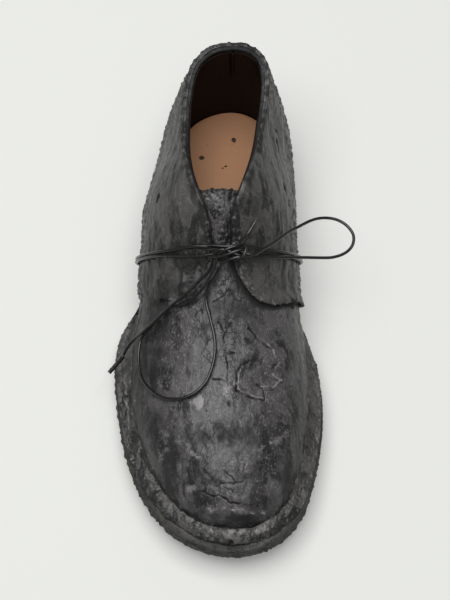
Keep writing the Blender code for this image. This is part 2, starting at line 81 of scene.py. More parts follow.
def finer_copy(node_name, levels, crease):
    """A merged copy of a solid's mesh, rounded by subdivision; its sharp edges keep a crease.

    Each point keeps its verge: 1 on a sharp edge, falling to 0 a face away.
    """
    sharp, bent, skewed = math.radians(55), math.radians(60), math.radians(120)
    coarse = bmesh.new()
    coarse.from_mesh(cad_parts[node_name].data)
    creases = coarse.edges.layers.float.new("crease_edge")
    verges = coarse.verts.layers.float.new("verge")
    bmesh.ops.remove_doubles(coarse, verts=coarse.verts, dist=1e-6)
    bmesh.ops.join_triangles(
        coarse, faces=coarse.faces, angle_face_threshold=bent, angle_shape_threshold=skewed
    )
    for edge in coarse.edges:
        if edge.calc_face_angle(0.0) > sharp:
            edge[creases] = crease
            for vert in edge.verts:
                vert[verges] = 1.0
    mesh = bpy.data.meshes.new(f"{node_name}_coarse")
    coarse.to_mesh(mesh)
    coarse.free()
    holder = bpy.data.objects.new(mesh.name, mesh)
    bpy.context.scene.collection.objects.link(holder)
    rounding = holder.modifiers.new("rounding", "SUBSURF")
    rounding.levels = rounding.render_levels = levels
    evaluated = holder.evaluated_get(bpy.context.evaluated_depsgraph_get())
    fine = bpy.data.meshes.new_from_object(evaluated)
    bpy.data.objects.remove(holder)
    bpy.data.meshes.remove(mesh)
    return fine


def rows_of(items, key, width):
    """One value of each item of a mesh, a row for each."""
    flat = np.empty(len(items) * width, np.float32)
    items.foreach_get(key, flat)
    return flat.reshape(-1, width).astype(float)


def points_of(mesh):
    """A mesh's points in millimetres, and their normals."""
    return rows_of(mesh.vertices, "co", 3) / MM, rows_of(mesh.vertex_normals, "vector", 3)


def faces_of(mesh):
    """The middles of a mesh's faces in millimetres, and their normals."""
    return rows_of(mesh.polygons, "center", 3) / MM, rows_of(mesh.polygons, "normal", 3)


def verge_of(mesh):
    """The verge that a finer copy's points keep."""
    return rows_of(mesh.attributes["verge"].data, "value", 1)[:, 0]


def divide(mesh, wanted):
    """Cuts the wanted faces of a mesh in four."""
    fine = bmesh.new()
    fine.from_mesh(mesh)
    fine.faces.ensure_lookup_table()
    edges = {edge for index in np.flatnonzero(wanted) for edge in fine.faces[index].edges}
    bmesh.ops.subdivide_edges(fine, edges=list(edges), cuts=1, use_grid_fill=True)
    bmesh.ops.triangulate(fine, faces=[face for face in fine.faces if len(face.verts) > 4])
    fine.to_mesh(mesh)
    fine.free()


def move(mesh, shift):
    """Moves each point of a mesh by its own shift in millimetres."""
    moved = (points_of(mesh)[0] + shift) * MM
    mesh.vertices.foreach_set("co", moved.astype(np.float32).ravel())
    mesh.update()


def raise_relief(mesh, heights, **kept):
    """Moves each point out along its normal by a height in millimetres.

    The finish finds the heights as relief, and the other values that are kept by their names:
    the marks run from -1 (black) to 1 (rubbed pale) and carry painted light and shade besides
    real rubbing, and craze runs from 0 (whole) to 1 (finely cracked).
    """
    move(mesh, points_of(mesh)[1] * heights[:, None])
    for key, values in {"relief": heights, **kept}.items():
        layer = mesh.attributes.new(key, "FLOAT", "POINT")
        layer.data.foreach_set("value", values.astype(np.float32))


def bumps(points, size, seed):
    """Soft noise from -1 to 1, with lumps of a size in millimetres."""
    return np.array([noise.noise(p) for p in (points / size + seed).tolist()])


RUN_SLOPE = math.radians(24)


def runs(points, width, length, seed):
    """Noise drawn out where the wet coating ran down and towards the toe."""
    along = points[:, 1] * math.cos(RUN_SLOPE) + points[:, 2] * math.sin(RUN_SLOPE)
    across = points[:, 2] * math.cos(RUN_SLOPE) - points[:, 1] * math.sin(RUN_SLOPE)
    drawn = np.stack([points[:, 0] / width, along / length, across / width], 1)
    return bumps(drawn, 1.0, seed)


def nubs(points, size, seed):
    """Small drops of coating that stand up here and there, from 0 to 1."""
    return np.clip(2.2 * bumps(points, size, seed) - 0.3, 0, 1)


def eased(values, low, high):
    """A smooth step from 0 at low to 1 at high."""
    share = np.clip((values - low) / (high - low), 0, 1)
    return share * share * (3 - 2 * share)


class Value:
    """A socket of a finish. Sums on it add Math nodes."""

    def __init__(self, finish, socket):
        self.finish, self.socket = finish, socket

    def maths(self, operation, first, second):
        return self.finish.node("ShaderNodeMath", {"operation": operation}, {0: first, 1: second})

    def __add__(self, other):
        return self.maths("ADD", self, other)

    __radd__ = __add__

    def __mul__(self, other):
        return self.maths("MULTIPLY", self, other)

    __rmul__ = __mul__

    def __sub__(self, other):
        return self.maths("SUBTRACT", self, other)

    def __rsub__(self, other):
        return self.maths("SUBTRACT", other, self)


class Finish:
    """A material in the making."""

    def __init__(self, name):
        self.material = bpy.data.materials.new(name)
        self.material.use_nodes = True
        self.tree = self.material.node_tree
        self.shader = self.tree.nodes["Principled BSDF"]

    def node(self, kind, settings=None, sockets=None, output=0):
        """Adds a node: its settings first, then the values or links of its sockets."""
        made = self.tree.nodes.new(kind)
        for key, value in (settings or {}).items():
            setattr(made, key, value)
        for key, value in (sockets or {}).items():
            self.feed(made.inputs[key], value)
        return Value(self, made.outputs[output])

    def feed(self, socket, value):
        """Links a value to a socket, or sets the socket to a number or colour."""
        if isinstance(value, Value):
            self.tree.links.new(value.socket, socket)
        else:
            socket.default_value = value

    def shade(self, **sockets):
        """Sets the shader's own sockets, with an underscore for a space."""
        for key, value in sockets.items():
            self.feed(self.shader.inputs[key.replace("_", " ")], value)
        return self.material

    def place(self):
        """The place on the shoe, in metres."""
        return self.node("ShaderNodeTexCoord", output="Object")

    def kept(self, key):
        """A value that the mesh keeps at its points."""
        return self.node("ShaderNodeAttribute", {"attribute_name": key}, output="Fac")

    def noise(self, place, size, detail):
        """Noise from 0 to 1, with features of a size in millimetres."""
        sockets = {"Vector": place, "Scale": 1 / (size * MM), "Detail": detail, "Roughness": 0.6}
        return self.node("ShaderNodeTexNoise", None, sockets, "Fac")

    def step(self, value, low, high):
        """A smooth step from 0 at low to 1 at high."""
        sockets = {"Value": value, "From Min": low, "From Max": high}
        return self.node("ShaderNodeMapRange", {"interpolation_type": "SMOOTHSTEP"}, sockets)

    def mix(self, share, first, second):
        """A colour between two."""
        colours = [c if isinstance(c, Value) else (*c, 1.0) for c in (first, second)]
        sockets = {0: share, 6: colours[0], 7: colours[1]}
        return self.node("ShaderNodeMix", {"data_type": "RGBA"}, sockets, 2)

    def drawn(self, place, length):
        """A place drawn out by a length along the way the wet coating ran."""
        sockets = {"Vector": place, "Rotation": (RUN_SLOPE, 0, 0), "Scale": (1, length, 1)}
        return self.node("ShaderNodeMapping", {"vector_type": "TEXTURE"}, sockets)

    def bump(self, height, depth, strength):
        """A normal for a height from 0 to 1 that stands for a depth in millimetres."""
        sockets = {"Height": height, "Distance": depth * MM, "Strength": strength}
        return self.node("ShaderNodeBump", None, sockets)

    def plates(self, place, cell, width):
        """Ragged plates of a size: a level for each, and 1 in the cracks of a width between them."""
        scale = 1 / (cell * MM)
        wander = self.node(
            "ShaderNodeTexNoise", None, {"Vector": place, "Scale": 2 * scale, "Detail": 5}, "Color"
        )
        spot = self.node(
            "ShaderNodeVectorMath",
            {"operation": "MULTIPLY_ADD"},
            {0: wander, 1: (0.9 * cell * MM,) * 3, 2: place},
        )
        sockets = {"Vector": spot, "Scale": scale}
        level = self.node("ShaderNodeTexVoronoi", None, sockets, "Color")
        edge = self.node("ShaderNodeTexVoronoi", {"feature": "DISTANCE_TO_EDGE"}, sockets)
        return level, 1 - self.step(edge, 0.0, width / cell)


COAT_LEVELS = (0.003, 0.010, 0.062, 0.22)
COAT_DEPTH = 1.15


def coating(name, tint, tone, roughness, run_share, fleck_and_glint, gloss=0.5):
    """Thick charcoal coating: streaked and flecked, rubbed pale on its marks, black in its cracks.

    Its tone scales the four levels of its colour, run_share its streaks and the fleck share its pale
    specks, which are partly pale crust and partly painted glints. Its marks carry painted light and
    shade as well as real rubbing.
    """
    deep, body, worn, rubbed = ([tone * level * share for share in tint] for level in COAT_LEVELS)
    finish = Finish(name)
    place = finish.place()
    relief, mark, craze = (finish.kept(key) for key in ("relief", "mark", "craze"))
    clouds = finish.noise(place, 26, 3)
    mottle = finish.noise(finish.drawn(place, 1.5), 5.5, 5)
    swells = finish.noise(finish.drawn(place, 1.5), 5.5, 1.5)
    grain = finish.noise(place, 1.3, 3)
    specks = finish.noise(finish.drawn(place, 2), 0.9, 2)
    streaks = finish.noise(finish.drawn(place, 6), 3.8, 3)
    crumbs = finish.step(finish.noise(place, 1.6, 2) + 0.5 * (mottle - 0.5), 0.56, 0.64)
    layer, rims = finish.plates(finish.drawn(place, 1.2 + 5 * run_share), 7.0, 0.3)
    flake, cracks = finish.plates(place, 5.0, 0.25)
    rims = rims * finish.step(clouds, 0.42, 0.6)
    cracks = cracks * craze
    wear_and_painted_light = 0.4 * clouds + 0.3 * mottle + 0.35 * layer + 0.15 * flake + 0.15 * grain
    wear_and_painted_light = wear_and_painted_light + run_share * (streaks - 0.5) + 0.35 * mark + 0.15 * relief
    ground = finish.mix(finish.step(wear_and_painted_light, 0.5, 0.84), body, worn)
    # Pale specks in the rubbed colour: partly pale crust, partly painted glints.
    flecks_and_glints = finish.step(specks + 0.4 * (mottle - 0.5) + 0.15 * mark + 0.12 * relief, 0.6, 0.68)
    ground = finish.mix(fleck_and_glint * flecks_and_glints, ground, rubbed)
    pale = finish.step(mark + 1.0 * (grain - 0.5) + 1.2 * (mottle - 0.5), 0.4, 1.0)
    ground = finish.mix(0.55 * pale, ground, rubbed)
    # Darker where the marks fall below 0, painted shade among them, and where the relief is low.
    dark = finish.step(0 - mark - 0.15 * relief - 0.4 * (mottle - 0.5), 0.15, 0.95)
    ground = finish.mix(0.85 * dark, ground, deep)
    ground = finish.mix(0.35 * rims, ground, deep)
    ground = finish.mix(0.6 * cracks, ground, deep)
    height = 0.5 * swells + 0.3 * layer + 0.2 * flake * craze + 0.08 * grain + 0.06 * specks
    height = height + 0.06 * crumbs + run_share * streaks - 0.12 * rims - 0.18 * cracks
    return finish.shade(
        Specular_IOR_Level=gloss,
        Base_Color=ground,
        Roughness=roughness + 0.2 * (layer - 0.5) + 0.2 * (mottle - 0.5) + 0.45 * dark,
        Normal=finish.bump(height, COAT_DEPTH, 1.0),
    )


def dress(name, mesh, finish):
    """A piece of the shoe with its finish, riding on the shoe's one body."""
    mesh.materials.clear()
    mesh.materials.append(finish)
    mesh.shade_smooth()
    piece = bpy.data.objects.new(name, mesh)
    bpy.context.scene.collection.objects.link(piece)
    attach(piece, "root")
    return piece


def show(name, mesh, finish, slot, *nodes):
    """A piece of the shoe that stands for its solids."""
    piece = dress(name, mesh, finish)
    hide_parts(*nodes)


OLIVE, NEUTRAL, PLUM = (1.0, 0.98, 0.88), (1.0, 0.965, 0.92), (1.02, 0.955, 0.995)

sole_mesh = finer_copy("outsole", levels=3, crease=1.0)
sole_points, sole_normals = points_of(sole_mesh)
edge_share = 1 - np.abs(sole_normals[:, 2])
sole_lumps = 0.6 * bumps(sole_points, 6, 3.1) + 0.55 * bumps(sole_points, 2.6, 7.7)
sole_lumps += 0.9 * nubs(sole_points, 2.2, 4.9)
top_lumps = (0.45 + 0.12 * bumps(sole_points, 9, 1.3)) * eased(sole_normals[:, 2], 0.2, 0.7)
from_toe = np.abs(sole_points[:, 0] - shoe_x(2))
toe_rim = eased(sole_normals[:, 2], 0.1, 0.5) * eased(from_toe, 10, 24)
toe_rim *= eased(-sole_points[:, 1], -shoe_y(190), -shoe_y(230))
heel_rim = eased(-sole_normals[:, 2], 0.1, 0.5) * (sole_points[:, 1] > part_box("heel")[0][1] / MM)
sealed_rims = RIM_SEAL * verge_of(sole_mesh) * (toe_rim + heel_rim)
raise_relief(sole_mesh, edge_share * sole_lumps + top_lumps + sealed_rims)
sole_coating = coating(
    "sole_coating", OLIVE, tone=0.66, roughness=0.62, run_share=0.25, fleck_and_glint=0.25, gloss=0.3
)
show("outsole_dipped", sole_mesh, sole_coating, "coated_sole", "outsole")

# Heel: a low block of the same stuff under the heel seat, with a straight breast.
# It is fixed under the sole and dipped with it, with small lumps of coating on its sides.
heel_mesh = finer_copy("heel", levels=3, crease=1.0)
heel_points, heel_normals = points_of(heel_mesh)
heel_sides = 1 - np.abs(heel_normals[:, 2])
heel_lumps = 0.4 * bumps(heel_points, 5, 2.2) + 0.3 * bumps(heel_points, 2.4, 5.1)
raise_relief(heel_mesh, heel_sides * heel_lumps)
show("heel_dipped", heel_mesh, sole_coating, "coated_sole", "heel")

# Welt: a leather strip sewn round the forefoot. On the sides it slopes from the wall to the sole's
# edge under one skin of coating; round the toe it is rolled up into a lip, rubbed pale and split.
# Lines on it. Columns: rise in millimetres (a trough is below 0), half width, mark, route of x and s.
WELT_LINES = (
    (-1.6, 0.8, -1.0, ((11.0, 278.6), (8.2, 283.1), (4.6, 287.2))),
    (0.5, 0.7, 0.7, ((-55.6, 180.0), (-55.4, 187.5), (-54.9, 196.8), (-53.3, 206.3), (-51.9, 215.5))),
    (-0.3, 0.8, -0.4, ((-57.0, 186.0), (-56.4, 197.0), (-54.8, 208.0))),
)
# The lip's crest, and the part of it that is rubbed palest, as routes of x and s.
LIP = (
    (-41.5, 242.0),
    (-36.5, 250.5),
    (-25.5, 264.0),
    (-11.0, 274.5),
    (8.5, 281.0),
    (25.0, 276.5),
    (38.0, 264.0),
)
TOE_FRONT = ((-9.0, 274.5), (8.5, 281.0), (22.0, 277.5))
# How far the welt's inner edge is drawn in to the wall.
WALL_REACH = 2.6


def from_route(points, route):
    """How far points lie from a route over the shoe, seen from above, in millimetres."""
    stops = [shoe_spot(x, s)[:2] for x, s in route]
    nearest = np.full(len(points), np.inf)
    for start, end in zip(stops, stops[1:]):
        way = end - start
        share = np.clip(((points[:, :2] - start) @ way) / (way @ way), 0, 1)
        off = points[:, :2] - start - share[:, None] * way
        nearest = np.minimum(nearest, np.linalg.norm(off, axis=1))
    return nearest


def draw_lines(points, lines, seed):
    """The heights and marks of creases, which wander, swell and fade a little along their routes."""
    wander = np.stack(
        [bumps(points, 6, seed + k) + 0.45 * bumps(points, 2.0, seed - k) for k in range(3)], 1
    )
    strength = np.clip(0.65 + 1.4 * bumps(points, 3.0, seed + 5), 0.0, 1.15)
    swelling = 1 + 0.6 * bumps(points, 3, seed + 7)
    heights, marks = np.zeros(len(points)), np.zeros(len(points))
    for rise, half, mark, route in lines:
        line = strength * np.exp(-((from_route(points + wander, route) / (half * swelling)) ** 2))
        heights += rise * line
        marks += mark * line
    return heights, marks


welt_mesh = finer_copy("welt", levels=3, crease=0.7)
divide(welt_mesh, faces_of(welt_mesh)[1][:, 2] > 0.15)
welt_points, welt_normals = points_of(welt_mesh)
lip_share = 1 - eased(from_route(welt_points, LIP), 3.0, 8)
welt_arm = welt_points[:, :2] - shoe_spot(3, 0)[:2]
welt_arm[:, 1] = np.minimum(0, welt_points[:, 1] - shoe_y(232))
welt_arm /= np.linalg.norm(welt_arm, axis=1)[:, None]
inwards = -(welt_arm * welt_normals[:, :2]).sum(1)
to_wall = WALL_REACH * eased(inwards, -0.1, 0.45)
beside_toe = eased(np.abs(welt_points[:, 0] - shoe_x(6)), 7, 18)
ragged_edge = 1.4 * bumps(welt_points, 8, 5.2) + 1.2 * bumps(welt_points, 3.2, 5.9)
to_edge = lip_share * eased(-inwards, 0.2, 0.8) * (0.4 + 3.4 * beside_toe + ragged_edge)
lift = (1.2 - 0.9 * lip_share) * to_wall - 0.5 * np.abs(to_edge)
move(welt_mesh, np.hstack([welt_arm * (to_edge - to_wall)[:, None], lift[:, None]]))
welt_points, welt_normals = points_of(welt_mesh)
welt_top = np.clip(welt_normals[:, 2] + 0.3, 0, 1)
welt_lines, welt_marks = draw_lines(welt_points, WELT_LINES, 21.0)
welt_lumps = 0.1 + (0.3 + 0.5 * lip_share) * bumps(welt_points, 9, 4.4)
welt_lumps += 0.4 * bumps(welt_points, 3.4, 9.1)
welt_drips = 0.4 * (1 - lip_share) * runs(welt_points, 4.0, 22, 8.0)
welt_lumps += 0.3 * bumps(welt_points, 1.6, 2.7) + welt_drips
crust = 1.5 * eased(bumps(welt_points, 5.5, 6.3) + 0.4 * bumps(welt_points, 1.8, 6.9), -0.2, 0.5)
on_crest = 1 - eased(from_route(welt_points, LIP), 1.0, 4.0)
toe_front = 1 - eased(from_route(welt_points, TOE_FRONT), 3, 9)
lip_marks = on_crest * (0.15 + 0.85 * toe_front) * crust * eased(welt_normals[:, 2], 0.3, 0.9)
# Painted light: the welt's medial side is painted paler, as if more lit. Off its crest the lip is darker,
# and the lateral side is paler towards the arch and darker towards the toe.
outer_marks = 0.18 * eased(welt_points[:, 0], 34, 44) - 0.35 * lip_share * (1 - on_crest)
along_arch = eased(welt_points[:, 1], shoe_y(220), shoe_y(172))
outer_marks += eased(-welt_points[:, 0], 38, 44) * (0.4 * along_arch - 0.2)
raise_relief(
    welt_mesh,
    welt_top * (welt_lumps + welt_lines),
    mark=welt_marks + lip_marks + outer_marks,
)
welt_coating = coating(
    "welt_coating", NEUTRAL, tone=0.95, roughness=0.45, run_share=0.06, fleck_and_glint=0.22
)
show("welt_dipped", welt_mesh, welt_coating, "coated_sole", "welt")

# Insole: smooth vegetable-tanned leather, left bare inside the shoe.
# It is nailed down at the heel; the nails' holes are ragged, and their colour runs to near black
# as they deepen.
INSOLE_TOP, HOLE_DEPTH = 28.8, 1.3
# Columns: x, s, radius.
NAIL_HOLES = (
    (8.6, 30.4, 1.7),
    (-11.2, 42.6, 1.6),
    (3.7, 48.3, 0.7),
    (1.9, 49.7, 0.7),
    (-7.9, 33.9, 0.5),
    (7.4, 33.4, 0.6),
)

insole_mesh = finer_copy("insole", levels=3, crease=0.9)
hole_spots = [shoe_spot(x, s, INSOLE_TOP) for x, s, _ in NAIL_HOLES]
for reach in (6, 4, 3, 2.2):
    middles = faces_of(insole_mesh)[0]
    from_holes = np.min([np.linalg.norm(middles - spot, axis=1) for spot in hole_spots], 0)
    divide(insole_mesh, from_holes < reach)
insole_points, insole_normals = points_of(insole_mesh)
holes = np.zeros(len(insole_points))
ragged = 0.55 * bumps(insole_points, 1.1, 6.0)
for (_, _, radius), spot in zip(NAIL_HOLES, hole_spots):
    away = np.hypot(insole_points[:, 0] - spot[0], insole_points[:, 1] - spot[1])
    holes = np.maximum(holes, 1 - eased(away + ragged, 0.6 * radius, radius))
holes *= insole_normals[:, 2] > 0.5
raise_relief(insole_mesh, -HOLE_DEPTH * holes)

tan = Finish("tan_insole")
tan_place = tan.place()
tan_grain = tan.noise(tan_place, 0.9, 4)
tan_clouds = tan.noise(tan_place, 22, 3)
tan_colour = tan.mix(tan_clouds, (0.325, 0.155, 0.073), (0.36, 0.178, 0.086))
tan_colour = tan.mix(0.25 * tan.step(tan_grain, 0.45, 0.75), tan_colour, (0.28, 0.128, 0.057))
# The holes' colour runs to near black with their depth.
tan_colour = tan.mix(tan.step(0 - tan.kept("relief"), 0.1, 0.8), tan_colour, (0.02, 0.013, 0.009))
tan_leather = tan.shade(
    Base_Color=tan_colour,
    Roughness=0.55 + 0.2 * tan_grain,
    Normal=tan.bump(tan_grain, 0.12, 0.35),
)
show("insole_tan", insole_mesh, tan_leather, "tan_leather", "insole")

# Upper: vamp and wall lasted as one hollow leather shell, under a coating that has cracked on top.
# The main creases, flakes and scuffs of the vamp, and its spots of painted shade, are placed one by one.
# Columns: rise in millimetres (a trough is below 0), half width, mark, route of x and s.
VAMP_LINES = (
    (-0.6, 0.6, -1.0, ((16.8, 168.8), (19.7, 171.7), (22.5, 174.7), (24.8, 176.4), (29.4, 177.9))),
    (0.15, 0.4, 1.0, ((24.9, 174.6), (30.2, 177.3), (31.8, 181.0))),
    (-0.6, 0.6, -1.0,
     ((9.6, 205.3), (9.6, 199.1), (9.9, 194.1), (11.6, 190.8), (19.1, 187.1), (27.1, 184.8))),
    (0.15, 0.4, 1.2, ((11.4, 192.4), (10.9, 198.2), (10.6, 203.9), (17.7, 207.0), (25.0, 207.8))),
    (-0.4, 0.6, -0.8, ((10.0, 205.4), (13.6, 206.9), (17.4, 208.6), (22.0, 209.3), (25.2, 209.4))),
    (-0.5, 0.5, -1.0, ((25.0, 203.7), (25.4, 208.9))),
    (0.15, 0.4, 1.1,
     ((34.6, 185.4), (30.9, 190.4), (30.4, 193.0), (35.3, 195.6), (30.4, 200.1), (23.0, 201.8))),
    (-0.3, 0.5, -0.7, ((33.0, 185.8), (29.4, 190.4), (28.9, 193.2))),
    (-0.4, 0.5, -0.8, ((36.0, 197.2), (30.6, 201.8), (25.9, 203.8))),
    (-0.5, 0.5, -1.0, ((21.3, 200.8), (24.1, 202.4), (24.7, 205.0))),
    (-0.4, 0.5, -0.8, ((3.1, 173.9), (2.7, 180.6), (3.9, 183.9), (3.7, 189.6), (4.8, 194.7), (4.8, 202.1))),
    (-0.4, 0.5, -0.9, ((-2.5, 183.9), (2.7, 184.6), (8.4, 183.7))),
    (-0.4, 0.5, -0.9, ((-4.2, 199.4), (2.7, 199.5))),
    (-0.3, 0.5, -0.6, ((4.8, 189.0), (9.4, 193.4))),
    (-0.3, 0.5, -0.6, ((-1.4, 166.7), (3.1, 172.8), (7.1, 167.5))),
    (-0.15, 0.35, -0.6,
     ((-3.8, 155.6), (0.3, 153.1), (3.9, 151.3), (3.9, 149.1), (6.8, 150.5), (11.3, 149.2))),
    (-0.15, 0.35, -0.6, ((-2.2, 148.4), (2.7, 152.3))),
    (-0.15, 0.35, -0.6, ((3.9, 149.1), (2.0, 144.4), (8.8, 142.2))),
    (-0.15, 0.35, -0.6, ((10.0, 143.7), (11.7, 148.4), (10.5, 151.8))),
    (-0.6, 0.5, -1.0, ((-10.3, 261.8), (-0.4, 263.5), (6.7, 267.3), (11.0, 268.2), (22.7, 267.9))),
    (0.3, 1.3, 0.3, ((-2.0, 261.0), (6.7, 264.8), (15.4, 265.8))),
    (-0.2, 0.5, -0.35, ((-1.3, 259.3), (2.0, 258.1), (8.7, 257.1), (13.2, 256.4))),
    (-0.2, 0.45, -0.35, ((2.6, 250.3), (3.7, 252.5), (6.5, 253.6), (8.7, 256.3))),
    (-0.2, 0.45, -0.45, ((14.9, 250.5), (14.3, 248.4), (16.0, 244.9), (21.7, 238.1))),
    (0.6, 1.3, 0.4, ((-33.2, 238.9), (-29.7, 234.6), (-29.7, 229.2), (-32.1, 224.7))),
    (0.6, 1.2, 0.4, ((-23.1, 231.3), (-19.0, 235.1), (-15.8, 240.3), (-11.7, 243.1))),
    (-0.5, 0.8, -0.8, ((-18.2, 246.8), (-17.3, 253.7), (-15.7, 256.1))),
    (0.5, 0.8, 0.4, ((-23.0, 244.3), (-21.4, 253.0), (-22.2, 258.4), (-19.8, 262.4))),
    (0.8, 0.9, 1.0, ((-5.3, 270.2), (6.7, 270.5), (15.4, 272.1), (25.1, 271.1))),
    # Painted shadow: a deep trough, painted black, in the gap under the lateral flap.
    (-1.8, 1.3, -2.5, ((-36.0, 148.7), (-33.5, 149.2), (-31.0, 150.0))),
    (0.5, 1.1, 0.4, ((20.4, 239.9), (24.5, 236.0), (30.8, 232.5), (39.3, 224.7))),
)
# Scuffs and stains, with spots of painted shade and shadow among them, as marked below.
# Columns: x, s, half width, half length, mark.
SCUFFS_AND_PAINTED_SHADE = (
    (-11.8, 210.8, 2.6, 4.6, 1.3),
    (4.3, 204.9, 3.2, 4.4, 0.8),
    (-16.5, 258.5, 3.6, 2.4, 1.0),
    (5.9, 254.7, 15.0, 9.0, -0.15),
    (14.4, 218.8, 15.0, 9.0, 0.05),
    (8.0, 229.5, 18.0, 8.0, -0.5),
    (3.5, 161.0, 15.0, 12.0, -0.5),
    (-38.0, 209.5, 4.0, 5.0, 0.5),
    # Painted shade in a pit.
    (5.2, 212.9, 1.2, 1.6, -0.9),
    # Painted shade down the toe's two flanks.
    (-28.0, 248.9, 5.0, 14.0, -0.55),
    (38.8, 250.7, 5.0, 14.0, -0.55),
    # Painted shadow along the toe's front wall.
    (5.9, 275.4, 24.0, 3.0, -0.35),
    (17.0, 275.0, 12.0, 3.0, -0.5),
    (-6.0, 266.0, 6.0, 4.0, 0.35),
    (-9.2, 230.8, 15.0, 7.0, -0.3),
    # Painted shade in two dents.
    (-37.8, 191.6, 1.8, 5.0, -0.8),
    (-17.5, 194.8, 1.7, 4.0, -0.7),
    # Painted shadow beside the left loop's strand.
    (-9.4, 169.4, 1.8, 3.5, -0.5),
    (-7.1, 176.4, 1.8, 4.0, -0.6),
    # Painted shade in dents.
    (37.3, 216.2, 2.6, 1.8, -0.6),
    (43.2, 211.4, 2.6, 1.8, -0.5),
    (26.1, 230.0, 1.8, 1.4, -0.5),
    (26.8, 236.5, 2.2, 1.4, -0.6),
    (24.1, 217.7, 1.2, 1.0, -0.7),
    # Painted shadow in the gaps under the two flaps.
    (-33.5, 149.3, 4.0, 2.4, -2.5),
    (40.5, 148.0, 2.6, 2.0, -1.6),
    # Painted shade in a dent.
    (20.1, 224.0, 1.2, 1.0, -0.6),
)
# Finely cracked areas. Columns: x, s, reach, share.
CRAZED = (
    (10.0, 185.0, 34.0, 0.7),
    (5.0, 150.0, 11.0, 0.6),
    (8.0, 252.0, 22.0, 0.2),
)


def outwards(points):
    """The directions that point out of the shoe, away from the foot's middle line."""
    toe, heel = (shoe_spot(*spot) for spot in ((5, 245, 32), (5, 45, 50)))
    way = heel - toe
    share = np.clip(((points - toe) @ way) / (way @ way), 0, 1)
    arm = points - toe - share[:, None] * way
    return arm / np.linalg.norm(arm, axis=1)[:, None]


def facing_out(points, normals):
    """1 where a point faces away from the foot, 0 on the inner faces."""
    return eased((outwards(points) * normals).sum(1), -0.15, 0.35)


upper_mesh = finer_copy("upper", levels=2, crease=0.6)
front_y = shoe_y(138)
middles, facings = faces_of(upper_mesh)
divide(upper_mesh, (middles[:, 1] < front_y) & (facing_out(middles, facings) > 0.5))
for reach in (1.6, 1.0):
    middles, facings = faces_of(upper_mesh)
    line_gap = np.min([from_route(middles, line[3]) for line in VAMP_LINES], 0)
    divide(upper_mesh, (line_gap < reach) & (facing_out(middles, facings) > 0.5))

upper_points, upper_normals = points_of(upper_mesh)
upper_out = facing_out(upper_points, upper_normals)
on_top = eased(upper_normals[:, 2], 0.3, 0.9)
vamp = 0.45 * bumps(upper_points, 12, 1.0) + 0.26 * bumps(upper_points, 4.6, 2.0)
vamp_drips = (0.45 - 0.35 * on_top) * runs(upper_points, 5.0, 30, 4.0)
vamp += 0.16 * bumps(upper_points, 2.1, 3.0) + vamp_drips
vamp += 0.7 * (1 - eased(upper_normals[:, 2], 0.2, 0.5)) * nubs(upper_points, 2.0, 19.0)
line_heights, vamp_marks = draw_lines(upper_points, VAMP_LINES, 11.0)
edge_noise = 0.5 * bumps(upper_points, 5.0, 15.0) + 0.4 * bumps(upper_points, 2.0, 16.0)
for x, s, half_x, half_s, mark in SCUFFS_AND_PAINTED_SHADE:
    arm = upper_points - shoe_spot(x, s)
    away = np.hypot(arm[:, 0] / half_x, arm[:, 1] / half_s)
    crisp = mark > 0.6 or mark < -1.0
    near, far = (0.55, 1.1) if crisp else (0.1, 1.6)
    vamp_marks += mark * (1 - eased(away + edge_noise, near, far))
# Painted light and shade: behind the toe the vamp is painted paler part way down each side, most on the
# medial side, and darker beyond on its flanks, most on the lateral side. It is a little darker down both
# sides all along.
from_middle = upper_points[:, 0] - shoe_x(5)
behind_toe = eased(upper_points[:, 1], shoe_y(235), shoe_y(205))
vamp_marks += behind_toe * (0.38 * eased(from_middle, 14, 28) - 0.4 * eased(from_middle, 28, 40))
vamp_marks -= 0.08 * eased(np.abs(from_middle), 14, 30)
vamp_marks += behind_toe * (0.3 * eased(-from_middle, 14, 26) - 0.65 * eased(-from_middle, 30, 44))

# Painted shadow: the vamp is painted darkest close to the rim of the medial quarter's flap, where
# the flap's edge casts its shade.
flap = finer_copy("quarter_medial", levels=2, crease=0.5)
flap_rim = points_of(flap)[0][verge_of(flap) > 0.9]
flap_rim = flap_rim[flap_rim[:, 1] < shoe_y(130)]
rim_tree = kdtree.KDTree(len(flap_rim))
for index, spot in enumerate(flap_rim):
    rim_tree.insert(spot, index)
rim_tree.balance()
by_flap = np.abs(upper_points[:, 1] - shoe_y(146)) < 20
from_rim = np.array([rim_tree.find(spot)[2] for spot in upper_points[by_flap]])
vamp_marks[by_flap] -= 1.6 * np.exp(-((from_rim / 2.6) ** 2))
bpy.data.meshes.remove(flap)

collar_rim = verge_of(upper_mesh) * eased(upper_points[:, 1], shoe_y(105), shoe_y(90))
collar_rim *= eased(upper_points[:, 2], 40, 50)
patchy = eased(bumps(upper_points, 15, 17.0), -0.15, 0.35)
craze = np.zeros(len(upper_points))
for x, s, reach, share in CRAZED:
    away = np.linalg.norm(upper_points[:, :2] - shoe_spot(x, s)[:2], axis=1)
    craze = np.maximum(craze, share * np.exp(-((away / reach) ** 2)))
raise_relief(
    upper_mesh,
    upper_out * (vamp + line_heights) + 0.4 * collar_rim * bumps(upper_points, 2.4, 27.0),
    mark=upper_out * vamp_marks - 0.7 * collar_rim,
    craze=upper_out * patchy * craze,
)
upper_coating = coating(
    "vamp_coating", PLUM, tone=1.0, roughness=0.38, run_share=0.12, fleck_and_glint=0.4
)
show("upper_dipped", upper_mesh, upper_coating, "coated_leather", "upper")

